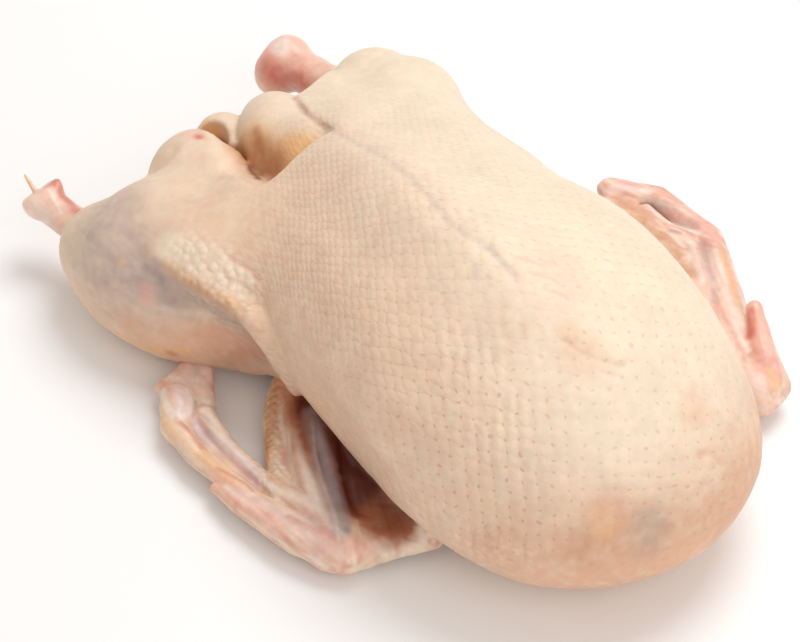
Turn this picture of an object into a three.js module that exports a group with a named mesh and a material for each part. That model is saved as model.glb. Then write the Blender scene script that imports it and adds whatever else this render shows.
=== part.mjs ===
// Whole raw goose, dressed and lying on its back with the breast up.
// Millimetres, +Z up. The neck end points along +X, and the bird's left side faces -Y.
// The origin is the middle of the bottom of the whole bird, wings and legs included.
//
// The bird is one body of flesh and skin. It is worked out as a signed distance field: round
// forms run into each other with soft blends, the opening at the vent is cut back out, folds are
// pressed in, and the zero surface of the field is turned into one closed mesh.
import * as THREE from "three";
import { triTable } from "three/addons/objects/MarchingCubes.js";
import { SimplifyModifier } from "three/addons/modifiers/SimplifyModifier.js";

// ---- Driving dimensions -------------------------------------------------------------------
// Places are measured from a point on the floor near the middle of the back.

const CELL = 4; // edge of the sampling cell
const FACES = 11600; // facets kept in the finished mesh
const REACH = { low: [-282, -176, -14], high: [230, 228, 182] }; // space that is sampled
const FAR_AWAY = 1000; // field value before anything is joined
const SEAT_BLEND = 6; // how softly the flesh turns up from the floor

const TORSO = {
  breast: { centre: [58, 9, 76], radii: [136, 110, 84] },
  crop: { centre: [122, 18, 54], radii: [91, 97, 56], turn: [-5, 0, 0], blend: 30 },
  belly: { centre: [-72, 4, 59], radii: [104, 88, 62], blend: 56 },
  rightFlank: { centre: [-62, 58, 70], radii: [78, 48, 48], blend: 28 },
  leftThigh: { centre: [-104, -68, 60], radii: [58, 44, 40], turn: [20, 0, 0], blend: 24 },
  leftRump: { centre: [-152, -86, 50], radii: [40, 30, 34], turn: [10, 0, 0], blend: 16 },
};
const KEEL = { path: [[-104, 0, 94], [-40, -4, 130], [20, -8, 146], [90, -4, 142]], radius: 14, blend: 34 };
const KEEL_FOLD = { path: [[-166, 14], [-117, 7], [-47, -5], [23, -14], [80, -9]], width: 3.2, depth: 2.4 };
const ABOVE_THE_WAIST = 80; // height over which the keel fold is pressed in

// The opening behind the belly skin, and what bulges in it.
const OPENING = {
  front: { centre: [-168, -24, 118], half: [54, 34, 52], round: 8, turn: [4, 0, 0], blend: 4 },
  side: { centre: [-200, 16, 124], radii: [40, 22, 38], blend: 4 },
};
const VENT = {
  leftLobe: { centre: [-176, -49, 56], radii: [37, 33, 34], blend: 16 },
  rightLobe: { centre: [-152, 2, 76], radii: [50, 30, 27], turn: [-8, 0, 0], blend: 3 },
  curledFlap: { centre: [-198, -16, 52], radii: [20, 14, 25], blend: 3 },
  tail: { centre: [-190, -8, 34], radii: [36, 26, 24], blend: 10 },
};

const LEFT_LEG = {
  skinFold: {
    path: [[-125, -105, 72], [-94, -99, 77], [-71, -91, 70], [-57, -81, 58], [-47, -77, 44], [-42, -72, 26]],
    radii: [5, 7, 8, 8, 8, 8], blend: 24,
  },
  drumstick: { centre: [-128, -104, 38], radii: [70, 40, 42], turn: [23, 0, 0], blend: 5 },
  ankle: { path: [[-150, -112, 38], [-180, -119, 40]], radii: [30, 25], blend: 14 },
  knee: { path: [[-118, -98, 32], [-70, -78, 28]], radii: [34, 22], blend: 10 },
  hock: { path: [[-186, -117, 40], [-209, -125, 40], [-229, -132, 45]], radii: [15, 12, 13.5], blend: 8 },
  sawnEnd: { centre: [-247, -138, 50], half: [10, 24, 24], round: 2, turn: [19, 13, 0], blend: 4 },
};
const RIGHT_LEG = {
  drumstick: { path: [[-109, 78, 58], [-147, 84, 68], [-175, 79, 69]], radii: [34, 37, 32], blend: 26 },
  hock: { path: [[-186, 76, 62], [-222, 66, 56], [-252, 58, 54]], radii: [16, 14, 17], blend: 6 },
  sawnEnd: { centre: [-275, 52, 53], half: [10, 26, 26], round: 2, turn: [15, -4, 0], blend: 5 },
};

// Each wing is folded in a Z: upper arm, forearm back to the wrist, hand along the body.
const WING_FLATTENING = 0.8; // height of a wing joint over its width
const HAND_FLATTENING = 0.7;
const LEFT_WING = {
  shoulder: [98, -62, 26],
  elbow: [-32, -66, 20],
  wrist: [84, -123, 15],
  forearmEnd: [66, -116, 16],
  hand: [[20, -138, 13], [-41, -145, 14], [-67, -136, 15], [-76, -124, 16]],
  handRadii: [15, 13, 15, 15, 13],
  thumb: [[52, -140, 12], [24, -153, 12], [4, -154, 12]],
  thumbRadii: [7, 5, 3],
  forearmRadii: [15, 14],
  skins: [
    [[-45, -79, 14], [22, -128, 12], [20, -92, 14]],
    [[-20, -80, 14], [40, -124, 13], [60, -90, 14]],
  ],
};
const RIGHT_WING = {
  shoulder: [110, 74, 26],
  elbow: [-14, 114, 18],
  wrist: [120, 142, 16],
  forearmEnd: [120, 142, 16],
  hand: [[60, 171, 17], [2, 203, 18], [-34, 197, 18], [-58, 179, 18]],
  handRadii: [12, 12, 12, 11, 9],
  thumb: [[124, 152, 18], [106, 164, 26], [84, 172, 30]],
  thumbRadii: [9, 8, 4],
  forearmRadii: [15, 13],
  skins: [[[-14, 114, 18], [120, 142, 16], [0, 190, 18]]],
};
const UPPER_ARM_RADII = [18, 14];
const SKIN_WEB = 4; // half the thickness of the skin stretched between the joints of a wing

const SKIN = { color: 0xe8c6a4, roughness: 0.55, metalness: 0 };

// ---- Round forms as signed distances -------------------------------------------------------

const clamp01 = (t) => Math.min(1, Math.max(0, t));

// Turns a direction from the form's own axes: yaw about Z, pitch about Y, roll about X, in degrees.
function turned([yaw, pitch, roll] = [0, 0, 0]) {
  const euler = new THREE.Euler(
    THREE.MathUtils.degToRad(roll),
    THREE.MathUtils.degToRad(pitch),
    THREE.MathUtils.degToRad(yaw),
    "ZYX",
  );
  return new THREE.Matrix4().makeRotationFromEuler(euler).invert();
}

function ellipsoid({ centre, radii, turn }) {
  const middle = new THREE.Vector3(...centre);
  const toLocal = turned(turn);
  const [a, b, c] = radii;
  const p = new THREE.Vector3();
  return (point) => {
    p.copy(point).sub(middle).applyMatrix4(toLocal);
    const scaled = Math.hypot(p.x / a, p.y / b, p.z / c);
    const slope = Math.hypot(p.x / (a * a), p.y / (b * b), p.z / (c * c)) + 1e-9;
    return (scaled * (scaled - 1)) / slope;
  };
}

function block({ centre, half, round, turn }) {
  const middle = new THREE.Vector3(...centre);
  const toLocal = turned(turn);
  const p = new THREE.Vector3();
  return (point) => {
    p.copy(point).sub(middle).applyMatrix4(toLocal);
    const dx = Math.abs(p.x) - (half[0] - round);
    const dy = Math.abs(p.y) - (half[1] - round);
    const dz = Math.abs(p.z) - (half[2] - round);
    const outside = Math.hypot(Math.max(dx, 0), Math.max(dy, 0), Math.max(dz, 0));
    return outside + Math.min(Math.max(dx, dy, dz), 0) - round;
  };
}

// A chain of round bars, each running from one radius to the next. Its height can be flattened.
function limb(path, radii, flattening = 1) {
  const lifted = ([x, y, z]) => new THREE.Vector3(x, y, z / flattening);
  const joints = path.map(lifted);
  const bars = joints.slice(1).map((end, i) => {
    const axis = end.clone().sub(joints[i]);
    return { start: joints[i], axis, square: axis.lengthSq(), from: radii[i], to: radii[i + 1] };
  });
  const p = new THREE.Vector3();
  const q = new THREE.Vector3();
  return (point) => {
    p.set(point.x, point.y, point.z / flattening);
    let nearest = Infinity;
    for (const bar of bars) {
      q.copy(p).sub(bar.start);
      const along = clamp01(q.dot(bar.axis) / bar.square);
      const distance = q.addScaledVector(bar.axis, -along).length();
      nearest = Math.min(nearest, distance - (bar.from + (bar.to - bar.from) * along));
    }
    return nearest * flattening;
  };
}

// A flat piece of skin with three corners and a rounded edge.
function web(corners, halfThickness) {
  const triangle = new THREE.Triangle(...corners.map((corner) => new THREE.Vector3(...corner)));
  const nearest = new THREE.Vector3();
  return (point) => triangle.closestPointToPoint(point, nearest).distanceTo(point) - halfThickness;
}

// ---- How forms run together ----------------------------------------------------------------

function softMin(a, b, blend) {
  const h = clamp01(0.5 + (0.5 * (b - a)) / blend);
  return b + (a - b) * h - blend * h * (1 - h);
}
const softMax = (a, b, blend) => -softMin(-a, -b, blend);

const join = (form, blend = 1) => (point, field) => softMin(field, form(point), blend);
const cut = (form, blend) => (point, field) => softMax(field, -form(point), blend);
const rest = (blend) => (point, field) => softMax(field, -point.z, blend);

// A fold seen from above: the surface sinks along a path on the plan.
function fold({ path, width, depth }) {
  const flat = limb(path.map(([x, y]) => [x, y, 0]), path.map(() => 0));
  const plan = new THREE.Vector3();
  return (point, field) => {
    if (point.z < ABOVE_THE_WAIST) return field;
    const across = flat(plan.set(point.x, point.y, 0)) / width;
    return field + depth * Math.exp(-across * across);
  };
}

// ---- The bird, form by form ----------------------------------------------------------------

function wing(w) {
  const [hidden, bare] = [10, 8];
  return [
    join(limb([w.shoulder, w.elbow], UPPER_ARM_RADII), hidden),
    join(limb([w.elbow, w.forearmEnd], w.forearmRadii, WING_FLATTENING), bare),
    ...w.skins.map((corners) => join(web(corners, SKIN_WEB), bare)),
    join(web([w.shoulder, w.elbow, w.wrist], SKIN_WEB), bare),
    join(limb([w.wrist, ...w.hand], w.handRadii, HAND_FLATTENING), 6),
    join(limb(w.thumb, w.thumbRadii), 5),
  ];
}

const bar = ({ path, radii }) => limb(path, radii);
const round = (form) => join(ellipsoid(form), form.blend);
const long = (form) => join(bar(form), form.blend);

const steps = [
  round(TORSO.breast),
  round(TORSO.crop),
  round(TORSO.belly),
  round(TORSO.rightFlank),
  join(limb(KEEL.path, KEEL.path.map(() => KEEL.radius)), KEEL.blend),
  long(RIGHT_LEG.drumstick),
  cut(block(OPENING.front), OPENING.front.blend),
  cut(ellipsoid(OPENING.side), OPENING.side.blend),
  round(TORSO.leftThigh),
  round(TORSO.leftRump),
  round(VENT.leftLobe),
  round(VENT.rightLobe),
  round(VENT.curledFlap),
  round(VENT.tail),
  long(LEFT_LEG.skinFold),
  round(LEFT_LEG.drumstick),
  long(LEFT_LEG.ankle),
  long(LEFT_LEG.knee),
  long(LEFT_LEG.hock),
  cut(block(LEFT_LEG.sawnEnd), LEFT_LEG.sawnEnd.blend),
  long(RIGHT_LEG.hock),
  cut(block(RIGHT_LEG.sawnEnd), RIGHT_LEG.sawnEnd.blend),
  fold(KEEL_FOLD),
  ...wing(LEFT_WING),
  ...wing(RIGHT_WING),
  rest(SEAT_BLEND),
];

const goose = (point) => steps.reduce((field, step) => step(point, field), FAR_AWAY);

// ---- From the field to a closed mesh -------------------------------------------------------

// The corners of a cell and the corner pairs that its twelve edges join, as the table counts them.
const CORNERS = [[0, 0, 0], [1, 0, 0], [1, 1, 0], [0, 1, 0], [0, 0, 1], [1, 0, 1], [1, 1, 1], [0, 1, 1]];
const EDGES = [[0, 1], [1, 2], [2, 3], [3, 0], [4, 5], [5, 6], [6, 7], [7, 4], [0, 4], [1, 5], [2, 6], [3, 7]];
const TABLE_ROW = 16; // entries for each case in the table of facets
const NEAR_ZERO = 1e-3; // a sample this close to the surface is moved off it

function sample(field, { low, high }) {
  const count = low.map((from, axis) => Math.ceil((high[axis] - from) / CELL) + 1);
  const values = new Float32Array(count[0] * count[1] * count[2]);
  const point = new THREE.Vector3();
  let i = 0;
  for (let z = 0; z < count[2]; z++)
    for (let y = 0; y < count[1]; y++)
      for (let x = 0; x < count[0]; x++) {
        const value = field(point.set(low[0] + x * CELL, low[1] + y * CELL, low[2] + z * CELL));
        values[i++] = Math.abs(value) < NEAR_ZERO ? NEAR_ZERO : value;
      }
  return { low, count, values };
}

function surface({ low, count, values }) {
  const stride = [1, count[0], count[0] * count[1]];
  const cornerOffset = CORNERS.map((c) => c[0] * stride[0] + c[1] * stride[1] + c[2] * stride[2]);
  const positions = [];
  const indices = [];
  const vertexOf = new Map(); // one vertex for each grid edge that the surface crosses

  function vertexOn(cell, edge) {
    const [from, to] = EDGES[edge].map((corner) => cell + cornerOffset[corner]).sort((a, b) => a - b);
    const axis = stride.indexOf(to - from);
    const key = from * 3 + axis;
    if (!vertexOf.has(key)) {
      const along = values[from] / (values[from] - values[to]);
      const place = [
        from % stride[1],
        Math.floor(from / stride[1]) % count[1],
        Math.floor(from / stride[2]),
      ];
      place[axis] += along;
      vertexOf.set(key, positions.length / 3);
      positions.push(...place.map((steps, i) => low[i] + steps * CELL));
    }
    return vertexOf.get(key);
  }

  for (let z = 0; z < count[2] - 1; z++)
    for (let y = 0; y < count[1] - 1; y++)
      for (let x = 0; x < count[0] - 1; x++) {
        const cell = x + y * stride[1] + z * stride[2];
        let kind = 0;
        cornerOffset.forEach((offset, bit) => {
          if (values[cell + offset] < 0) kind |= 1 << bit;
        });
        const row = kind * TABLE_ROW;
        for (let t = row; triTable[t] !== -1; t += 3)
          indices.push(...[0, 1, 2].map((k) => vertexOn(cell, triTable[t + k])));
      }

  const geometry = new THREE.BufferGeometry();
  geometry.setAttribute("position", new THREE.Float32BufferAttribute(positions, 3));
  geometry.setIndex(indices);
  return geometry;
}

// Six times the volume inside the mesh. It is below zero when the facets face inwards.
function signedVolume(geometry) {
  const { array } = geometry.index;
  const corner = [new THREE.Vector3(), new THREE.Vector3(), new THREE.Vector3()];
  let sum = 0;
  for (let i = 0; i < array.length; i += 3) {
    corner.forEach((c, k) => c.fromBufferAttribute(geometry.attributes.position, array[i + k]));
    sum += corner[0].dot(corner[1].clone().cross(corner[2]));
  }
  return sum;
}

async function carved(field) {
  const fine = surface(sample(field, REACH));
  if (signedVolume(fine) < 0) {
    const { array } = fine.index;
    for (let i = 0; i < array.length; i += 3) [array[i + 1], array[i + 2]] = [array[i + 2], array[i + 1]];
  }
  const vertices = fine.attributes.position.count;
  const kept = FACES / 2 + 2; // a closed surface has about half as many vertices as facets
  const coarse = await new SimplifyModifier().modify(fine, vertices - kept);
  coarse.computeBoundingBox();
  const { min, max } = coarse.boundingBox;
  coarse.translate(-(min.x + max.x) / 2, -(min.y + max.y) / 2, -min.z);
  coarse.computeVertexNormals();
  return coarse;
}

const body = new THREE.Mesh(await carved(goose), new THREE.MeshStandardMaterial(SKIN));
body.name = "goose";

const group = new THREE.Group();
group.add(body);

export default group;
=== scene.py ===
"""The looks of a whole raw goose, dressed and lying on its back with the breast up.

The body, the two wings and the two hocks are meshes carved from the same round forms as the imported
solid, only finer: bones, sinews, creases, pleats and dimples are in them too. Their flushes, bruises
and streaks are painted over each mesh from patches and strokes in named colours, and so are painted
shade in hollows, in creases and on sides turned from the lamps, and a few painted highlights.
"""

import math

import bpy
import numpy as np
from bpy.props import FloatProperty, FloatVectorProperty, PointerProperty
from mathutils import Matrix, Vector


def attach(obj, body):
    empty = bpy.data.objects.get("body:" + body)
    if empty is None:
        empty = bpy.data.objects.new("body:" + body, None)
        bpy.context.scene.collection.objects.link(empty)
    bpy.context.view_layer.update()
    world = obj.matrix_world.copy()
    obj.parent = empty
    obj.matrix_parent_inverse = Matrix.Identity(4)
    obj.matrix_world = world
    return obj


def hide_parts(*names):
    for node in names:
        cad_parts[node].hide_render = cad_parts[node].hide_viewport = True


bl_info = {
    "name": "Raw Goose",
    "version": (1, 0, 0),
    "blender": (4, 5, 0),
    "location": "View3D > Sidebar > Goose",
    "description": "Builds the body, wings, hocks and studio of a whole raw goose",
    "category": "Add Mesh",
}

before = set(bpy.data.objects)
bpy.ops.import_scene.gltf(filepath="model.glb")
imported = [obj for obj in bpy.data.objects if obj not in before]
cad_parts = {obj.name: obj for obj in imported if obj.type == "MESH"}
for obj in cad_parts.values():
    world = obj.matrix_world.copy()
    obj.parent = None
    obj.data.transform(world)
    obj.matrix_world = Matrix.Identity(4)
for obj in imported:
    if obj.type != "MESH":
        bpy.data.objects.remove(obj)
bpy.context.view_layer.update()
BODY = "root"
NODE = "goose"
MM = 0.001


# ---- What a user would change ---------------------------------------------------------------


class GooseShape(bpy.types.PropertyGroup):
    """Sizes of the carved skin."""

    body_cell: FloatProperty(
        name="Body Cell",
        description="Edge of the cells that the body is carved with",
        default=0.002,
        min=0.001,
        max=0.01,
        subtype="DISTANCE",
        unit="LENGTH",
    )
    wing_cell: FloatProperty(
        name="Wing Cell",
        description="Edge of the cells that the wings are carved with",
        default=0.0011,
        min=0.0008,
        max=0.01,
        subtype="DISTANCE",
        unit="LENGTH",
    )
    hock_cell: FloatProperty(
        name="Hock Cell",
        description="Edge of the cells that the hocks are carved with",
        default=0.0008,
        min=0.0005,
        max=0.01,
        subtype="DISTANCE",
        unit="LENGTH",
    )
    relief: FloatProperty(
        name="Relief",
        description="Depth of creases, pleats and bumps, as a share of their real depth",
        default=1.0,
        min=0.0,
        max=2.0,
        subtype="FACTOR",
    )


class GooseColours(bpy.types.PropertyGroup):
    """Colours of the skin and of what shows at its ends. Some also paint shade and highlights."""

    cream: FloatVectorProperty(
        name="Cream",
        description="Skin of the breast",
        subtype="COLOR",
        default=(0.86, 0.72, 0.555),
    )
    # Peach also paints shade: on the left side and on the front below the breast's ridge, which are turned from the
    # key lamp, at the foot of every side, under the drumstick and along creases.
    peach: FloatVectorProperty(
        name="Peach",
        description="Duller, warmer skin of the sides and the front",
        subtype="COLOR",
        default=(0.74, 0.45, 0.30),
    )
    mauve: FloatVectorProperty(
        name="Mauve",
        description="Dark flesh that shows through thin skin",
        subtype="COLOR",
        default=(0.44, 0.34, 0.34),
    )
    # Lilac also tints the painted highlight on the top of the right hock.
    lilac: FloatVectorProperty(
        name="Lilac",
        description="Paler veins and muscle under the wings' thin skin",
        subtype="COLOR",
        default=(0.80, 0.62, 0.60),
    )
    # Slate also paints the shadow under the left knee's lip.
    slate: FloatVectorProperty(
        name="Slate",
        description="Veins and hollows under thin skin",
        subtype="COLOR",
        default=(0.26, 0.22, 0.24),
    )
    pink: FloatVectorProperty(
        name="Pink",
        description="Flushed skin and cartilage",
        subtype="COLOR",
        default=(0.87, 0.46, 0.38),
    )
    rose: FloatVectorProperty(
        name="Rose",
        description="Redder cut flesh at the joints",
        subtype="COLOR",
        default=(0.66, 0.20, 0.15),
    )
    # Blood is also painted shade: in the vent's slit and the wedge between the lobes, and in the hollow of the left
    # forearm under the body.
    blood_and_shade: FloatVectorProperty(
        name="Blood",
        description="Dark flesh and dried blood in hollows",
        subtype="COLOR",
        default=(0.13, 0.022, 0.012),
    )
    # Rust also paints shade: along the left knee's lip, on the drumstick's low end, round the vent, on the lower
    # front, in the breast's creases, at the breast's foot and under the body on the left forearm.
    rust_and_shade: FloatVectorProperty(
        name="Rust",
        description="Dry brown edges and thin flesh",
        subtype="COLOR",
        default=(0.40, 0.13, 0.055),
    )
    # Fat is also painted shade on the right lobe's lower side, next to the vent.
    fat_and_shade: FloatVectorProperty(
        name="Fat",
        description="Yellow fat under the skin's edges",
        subtype="COLOR",
        default=(0.84, 0.50, 0.24),
    )
    # Sinew also paints a highlight on the right hock's top, and painted light on the left wing's finger where the
    # drumstick's shadow falls.
    sinew_and_highlight: FloatVectorProperty(
        name="Sinew",
        description="White tendon and cartilage",
        subtype="COLOR",
        default=(0.90, 0.80, 0.73),
    )


class GooseStage(bpy.types.PropertyGroup):
    """Studio round the goose."""

    lens: FloatProperty(
        name="Lens",
        description="Focal length of the camera, for a 36 mm wide sensor",
        default=0.1,
        subtype="DISTANCE_CAMERA",
    )
    azimuth: FloatProperty(
        name="Azimuth",
        description="Way that the camera is turned round the goose",
        default=math.radians(55),
        subtype="ANGLE",
        unit="ROTATION",
    )
    elevation: FloatProperty(
        name="Elevation",
        description="How far the camera looks down",
        default=math.radians(46),
        subtype="ANGLE",
        unit="ROTATION",
    )
    distance: FloatProperty(
        name="Distance",
        description="From the camera to the point that it looks at",
        default=1.2698,
        subtype="DISTANCE",
        unit="LENGTH",
    )
    sky: FloatProperty(
        name="Sky",
        description="Brightness of the white room",
        default=0.57,
        min=0.0,
    )
    key: FloatProperty(
        name="Key",
        description="Power of the large lamp above the goose, in watts",
        default=13.5,
        min=0.0,
    )
    fill: FloatProperty(
        name="Fill",
        description="Power of the wide lamp at the neck end, in watts",
        default=6.0,
        min=0.0,
    )


# ---- Round forms as distances, in millimetres -----------------------------------------------
# Places are measured from a point on the floor near the middle of the back. The neck end points
# along +X, and the bird's left side faces -Y.

FAR_AWAY = 1000.0
BAND = 12.0  # the distances are only right up to this far from the bird's surface


class Form:
    """A solid form: the distance from points to its surface, and the box that it lies in."""

    def __init__(self, distance, low, high):
        self.distance = distance
        self.low = np.array(low, float)
        self.high = np.array(high, float)

    def near(self, points, blend):
        """Points that the form can reach, with room for the blend."""
        reach = 1.6 * (BAND + blend)
        return np.all((points > self.low - reach) & (points < self.high + reach), axis=1)


def turning(yaw=0.0, pitch=0.0, roll=0.0):
    """Rotation by yaw about Z, pitch about Y and roll about X, in degrees."""
    (cy, cp, cr), (sy, sp, sr) = [f(np.radians([yaw, pitch, roll])) for f in (np.cos, np.sin)]
    about_z = np.array([[cy, -sy, 0], [sy, cy, 0], [0, 0, 1]])
    about_y = np.array([[cp, 0, sp], [0, 1, 0], [-sp, 0, cp]])
    about_x = np.array([[1, 0, 0], [0, cr, -sr], [0, sr, cr]])
    return about_z @ about_y @ about_x


def ellipsoid(centre, radii, turn=(0, 0, 0)):
    centre, radii, axes = np.array(centre, float), np.array(radii, float), turning(*turn)

    def distance(points):
        local = (points - centre) @ axes
        scaled = np.sqrt(((local / radii) ** 2).sum(1))
        slope = np.sqrt(((local / radii**2) ** 2).sum(1)) + 1e-9
        return scaled * (scaled - 1) / slope

    extent = np.sqrt(((axes * radii) ** 2).sum(1))
    return Form(distance, centre - extent, centre + extent)


def block(centre, half, rounding, turn=(0, 0, 0)):
    centre, axes = np.array(centre, float), turning(*turn)
    core = np.array(half, float) - rounding

    def distance(points):
        beyond = np.abs((points - centre) @ axes) - core
        outside = np.linalg.norm(np.maximum(beyond, 0), axis=1)
        return outside + np.minimum(beyond.max(1), 0) - rounding

    extent = np.abs(axes) @ np.array(half, float)
    return Form(distance, centre - extent, centre + extent)


def limb(path, radii, flattening=1.0):
    """A chain of round bars, each running from one radius to the next, with its height flattened."""
    path, radii = np.array(path, float), np.array(radii, float)
    squeeze = np.array([1, 1, 1 / flattening])
    joints = path * squeeze

    def distance(points):
        points = points * squeeze
        nearest = np.full(len(points), np.inf)
        for start, end, wide, narrow in zip(joints[:-1], joints[1:], radii[:-1], radii[1:]):
            axis = end - start
            along = np.clip((points - start) @ axis / (axis @ axis), 0, 1)
            off = np.linalg.norm(points - start - along[:, None] * axis, axis=1)
            nearest = np.minimum(nearest, off - (wide + (narrow - wide) * along))
        return nearest * flattening

    reach = radii.max()
    return Form(distance, path.min(0) - reach, path.max(0) + reach)


def web(corners, half_thickness):
    """A flat piece of skin with three corners and a rounded edge."""
    corners = np.array(corners, float)
    sides = np.roll(corners, -1, axis=0) - corners
    across = np.cross(sides[0], sides[2])

    def distance(points):
        inside = np.ones(len(points), bool)
        edge = np.full(len(points), np.inf)
        for corner, side in zip(corners, sides):
            local = points - corner
            inside &= local @ np.cross(side, across) >= 0
            along = np.clip(local @ side / (side @ side), 0, 1)
            edge = np.minimum(edge, ((local - along[:, None] * side) ** 2).sum(1))
        face = ((points - corners[0]) @ across) ** 2 / (across @ across)
        return np.sqrt(np.where(inside, face, edge)) - half_thickness

    return Form(distance, corners.min(0) - half_thickness, corners.max(0) + half_thickness)


def soft_min(a, b, blend):
    h = np.clip(0.5 + 0.5 * (b - a) / blend, 0, 1)
    return b + (a - b) * h - blend * h * (1 - h)


def join(form, blend=1.0):
    def step(points, field):
        near = form.near(points, blend)
        field[near] = soft_min(field[near], form.distance(points[near]), blend)

    return step


def cut(form, blend):
    def step(points, field):
        near = form.near(points, blend)
        field[near] = -soft_min(-field[near], form.distance(points[near]), blend)

    return step


def grown(*parts):
    """Forms and their blends, run together into one form."""

    def distance(points):
        field = np.full(len(points), FAR_AWAY)
        for form, blend in parts:
            join(form, blend)(points, field)
        return field

    low = np.min([form.low for form, _ in parts], axis=0)
    high = np.max([form.high for form, _ in parts], axis=0)
    return Form(distance, low, high)


def rest(blend):
    """The flesh is pressed flat on the floor."""

    def step(points, field):
        field[:] = -soft_min(-field, points[:, 2], blend)

    return step


def distance_to_path(points, path):
    nearest = np.full(len(points), np.inf)
    for start, end in zip(path[:-1], path[1:]):
        axis = end - start
        along = np.clip((points - start) @ axis / (axis @ axis), 0, 1)
        off = ((points - start - along[:, None] * axis) ** 2).sum(1)
        nearest = np.minimum(nearest, off)
    return np.sqrt(nearest)


# ---- The bird, form by form -----------------------------------------------------------------

FACING = (55, 0, 44)  # turns a form's X right, Y up and Z nearer for a viewer at the left front
SEAT_BLEND = 6  # how softly the flesh turns up from the floor

TORSO = [
    join(ellipsoid((58, 9, 76), (136, 110, 84)), 56),  # breast
    join(ellipsoid((122, 18, 54), (91, 97, 56), (-5, 0, 0)), 30),  # crop and shoulders
    join(ellipsoid((-72, 4, 59), (104, 88, 62)), 56),  # belly
    join(ellipsoid((-62, 58, 70), (78, 48, 48)), 28),  # right flank
    join(limb([(-104, 0, 94), (-40, -4, 130), (20, -8, 146), (90, -4, 142)], [14] * 4), 34),  # keel
    join(limb([(-109, 78, 58), (-147, 84, 68), (-175, 79, 69)], [34, 37, 29]), 26),  # right thigh
    cut(ellipsoid((46, -151, 60), (88, 60, 56)), 14),  # waist over the left wing
]
VENT = [
    cut(block((-167, -24, 118), (60, 34, 52), 10, (4, 0, 0)), 3),
    cut(ellipsoid((-200, 16, 124), (40, 22, 38)), 4),
    join(ellipsoid((-104, -68, 60), (58, 44, 40), (20, 0, 0)), 24),  # left thigh
    join(ellipsoid((-152, -86, 50), (40, 30, 34), (10, 0, 0)), 16),  # left rump
    join(ellipsoid((-176, -49, 56), (37, 33, 34)), 16),  # left lobe
    join(ellipsoid((-190, -8, 34), (36, 26, 24)), 10),  # tail
    join(ellipsoid((-196, -20, 70), (16, 13, 13), FACING), 6),  # curled flap
    cut(ellipsoid((-191, -34, 74), (12, 12, 10), FACING), 2),  # its hollow
    cut(limb([(-190, -31, 78), (-173, -32, 79), (-156, -30, 74), (-146, -28, 74)], [7, 7, 6, 4]), 4),  # slit
    join(grown(
        (ellipsoid((-152, 2, 76), (50, 29, 27), (-8, 0, 0)), 1),  # right lobe
        (ellipsoid((-120, 4, 92), (34, 27, 24)), 10),
    ), 2),
    cut(ellipsoid((-157, -25, 97), (4, 12, 8), FACING), 4),  # its dimple
    cut(ellipsoid((-182, -46, 93), (5, 3, 5), FACING), 3),  # nick in the left lobe
    join(limb([(-168, -45, 82), (-160, -39, 80), (-147, -37, 76), (-136, -38, 76)], [8, 8, 7, 7]), 8),  # its near rim
    join(ellipsoid((-122, -42, 78), (20, 15, 12)), 8),
    join(web([(-180, 58, 84), (-130, 60, 96), (-106, 10, 119)], 6), 10),  # right groin's skin
    join(web([(-168, 18, 96), (-186, 54, 86), (-106, 6, 121)], 4.5), 2.5),
]
KNEE_FOLD = [(-125, -105, 72), (-94, -99, 77), (-71, -91, 70), (-57, -81, 58), (-47, -77, 44), (-42, -72, 26)]
KNEE_LIP = [
    (-118, -116, 79), (-90, -111, 82), (-63, -103, 80), (-46, -96, 77), (-31, -92, 66), (-21, -89, 51), (-15, -87, 37),
]
UNDER_LIP = [
    (-104, -129, 75), (-84, -125, 72), (-62, -119, 67), (-49, -112, 59), (-38, -108, 47), (-30, -103, 34),
]
LEFT_LEG = [
    join(limb(KNEE_FOLD, [5, 7, 8, 8, 8, 8]), 24),
    join(limb(KNEE_LIP, [2, 4, 5.5, 6, 6, 4.5, 2.5]), 7),
    join(ellipsoid((-128, -104, 38), (70, 40, 41), (23, 0, 0)), 4),  # drumstick
    join(limb([(-150, -112, 38), (-180, -119, 40)], [30, 25]), 14),
    join(limb([(-118, -98, 32), (-70, -78, 28)], [34, 22]), 10),
    join(ellipsoid((-140, -98, 56), (42, 28, 29), (15, 0, 0)), 26),
    cut(limb(UNDER_LIP, [3, 10, 14, 15, 14, 9]), 3),
]
LEFT_HOCK = [
    join(limb([(-176, -113, 40), (-208, -124, 40), (-226, -131, 45)], [15, 11, 11])),
    join(ellipsoid((-232, -138, 45), (8, 7, 9)), 5),  # outer knob
    join(ellipsoid((-232, -125, 52), (8, 7, 8)), 5),  # inner knob
    cut(limb([(-238, -130, 60), (-222, -122, 62)], [4, 4]), 5),  # groove between them
    cut(block((-243.5, -133.5, 60), (12, 34, 34), 2, (199, -50, 0)), 2),  # where the foot was cut off
    join(limb([(-226, -130, 46), (-238, -134, 51), (-246, -135, 57)], [2.5, 1.6, 0.9]), 1.5),  # tendon
]
RIGHT_HOCK = [
    join(limb([(-170, 76, 65), (-206, 68, 61), (-224, 63, 58)], [14, 11, 11.5])),
    join(limb([(-224, 62, 57), (-246, 56, 54)], [11, 16]), 8),
    join(ellipsoid((-247, 49, 49), (13, 13, 14)), 8),  # lower knob
    join(ellipsoid((-246, 61, 59), (14, 13, 14)), 8),  # upper knob
    cut(block((-276, 52, 53), (14, 26, 26), 4, (15, -4, 0)), 5),
]
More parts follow.
